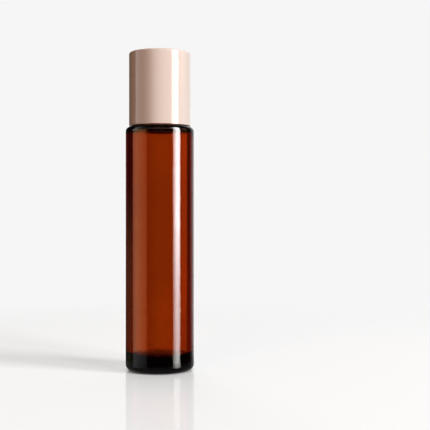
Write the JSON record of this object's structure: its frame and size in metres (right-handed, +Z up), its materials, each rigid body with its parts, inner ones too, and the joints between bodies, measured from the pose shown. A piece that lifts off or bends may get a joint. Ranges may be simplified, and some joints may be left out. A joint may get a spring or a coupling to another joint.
{
  "type": "roll on bottle",
  "caption": "Slim cylindrical roll-on bottle in amber glass with a pressed-in roller housing, a steel ball and a smooth glossy nude screw cap.",
  "frame": {"origin": "centre of the foot, on the plane that the bottle stands on", "axes": "+Z up the bottle's axis to the cap; the part is round, so X and Y are alike apart from where the threads start"},
  "size_m": [0.0203, 0.0202, 0.094],
  "materials": {
    "amber_glass": "fire-polished amber glass",
    "natural_polyethylene": "moulded, milky and slightly translucent",
    "polished_steel": "mirror-polished stainless steel",
    "polyethylene_foam": "fine closed-cell foam",
    "white_polypropylene": "moulded semi-gloss",
    "nude_lacquer": "high-gloss lacquer over a moulded shell"
  },
  "bodies": {
    "bottle": {"glass_bottle": "amber_glass", "roller_housing": "natural_polyethylene"},
    "ball": {"roller_ball": "polished_steel"},
    "seal": {"sealing_disc": "polyethylene_foam"},
    "cap": {"cap_insert": "white_polypropylene", "cap_shell": "nude_lacquer"}
  },
  "joints": [
    {"name": "cap_lift", "type": "slide", "parent": "bottle", "child": "seal", "axis": [0, 0, 1], "range_m": [0, 0.0189]},
    {"name": "cap_turn", "type": "hinge", "parent": "seal", "child": "cap", "pos_m": [0, 0, 0.0722], "axis": [0, 0, 1], "range_deg": [0, 3240]},
    {"name": "ball_roll", "type": "hinge", "parent": "bottle", "child": "ball", "pos_m": [0, 0, 0.085], "axis": [1, 0, 0], "continuous": true}
  ],
  "couplings": [
    {"joint": "cap_lift", "follows": "cap_turn", "m_per_rad": 0.00033423}
  ]
}
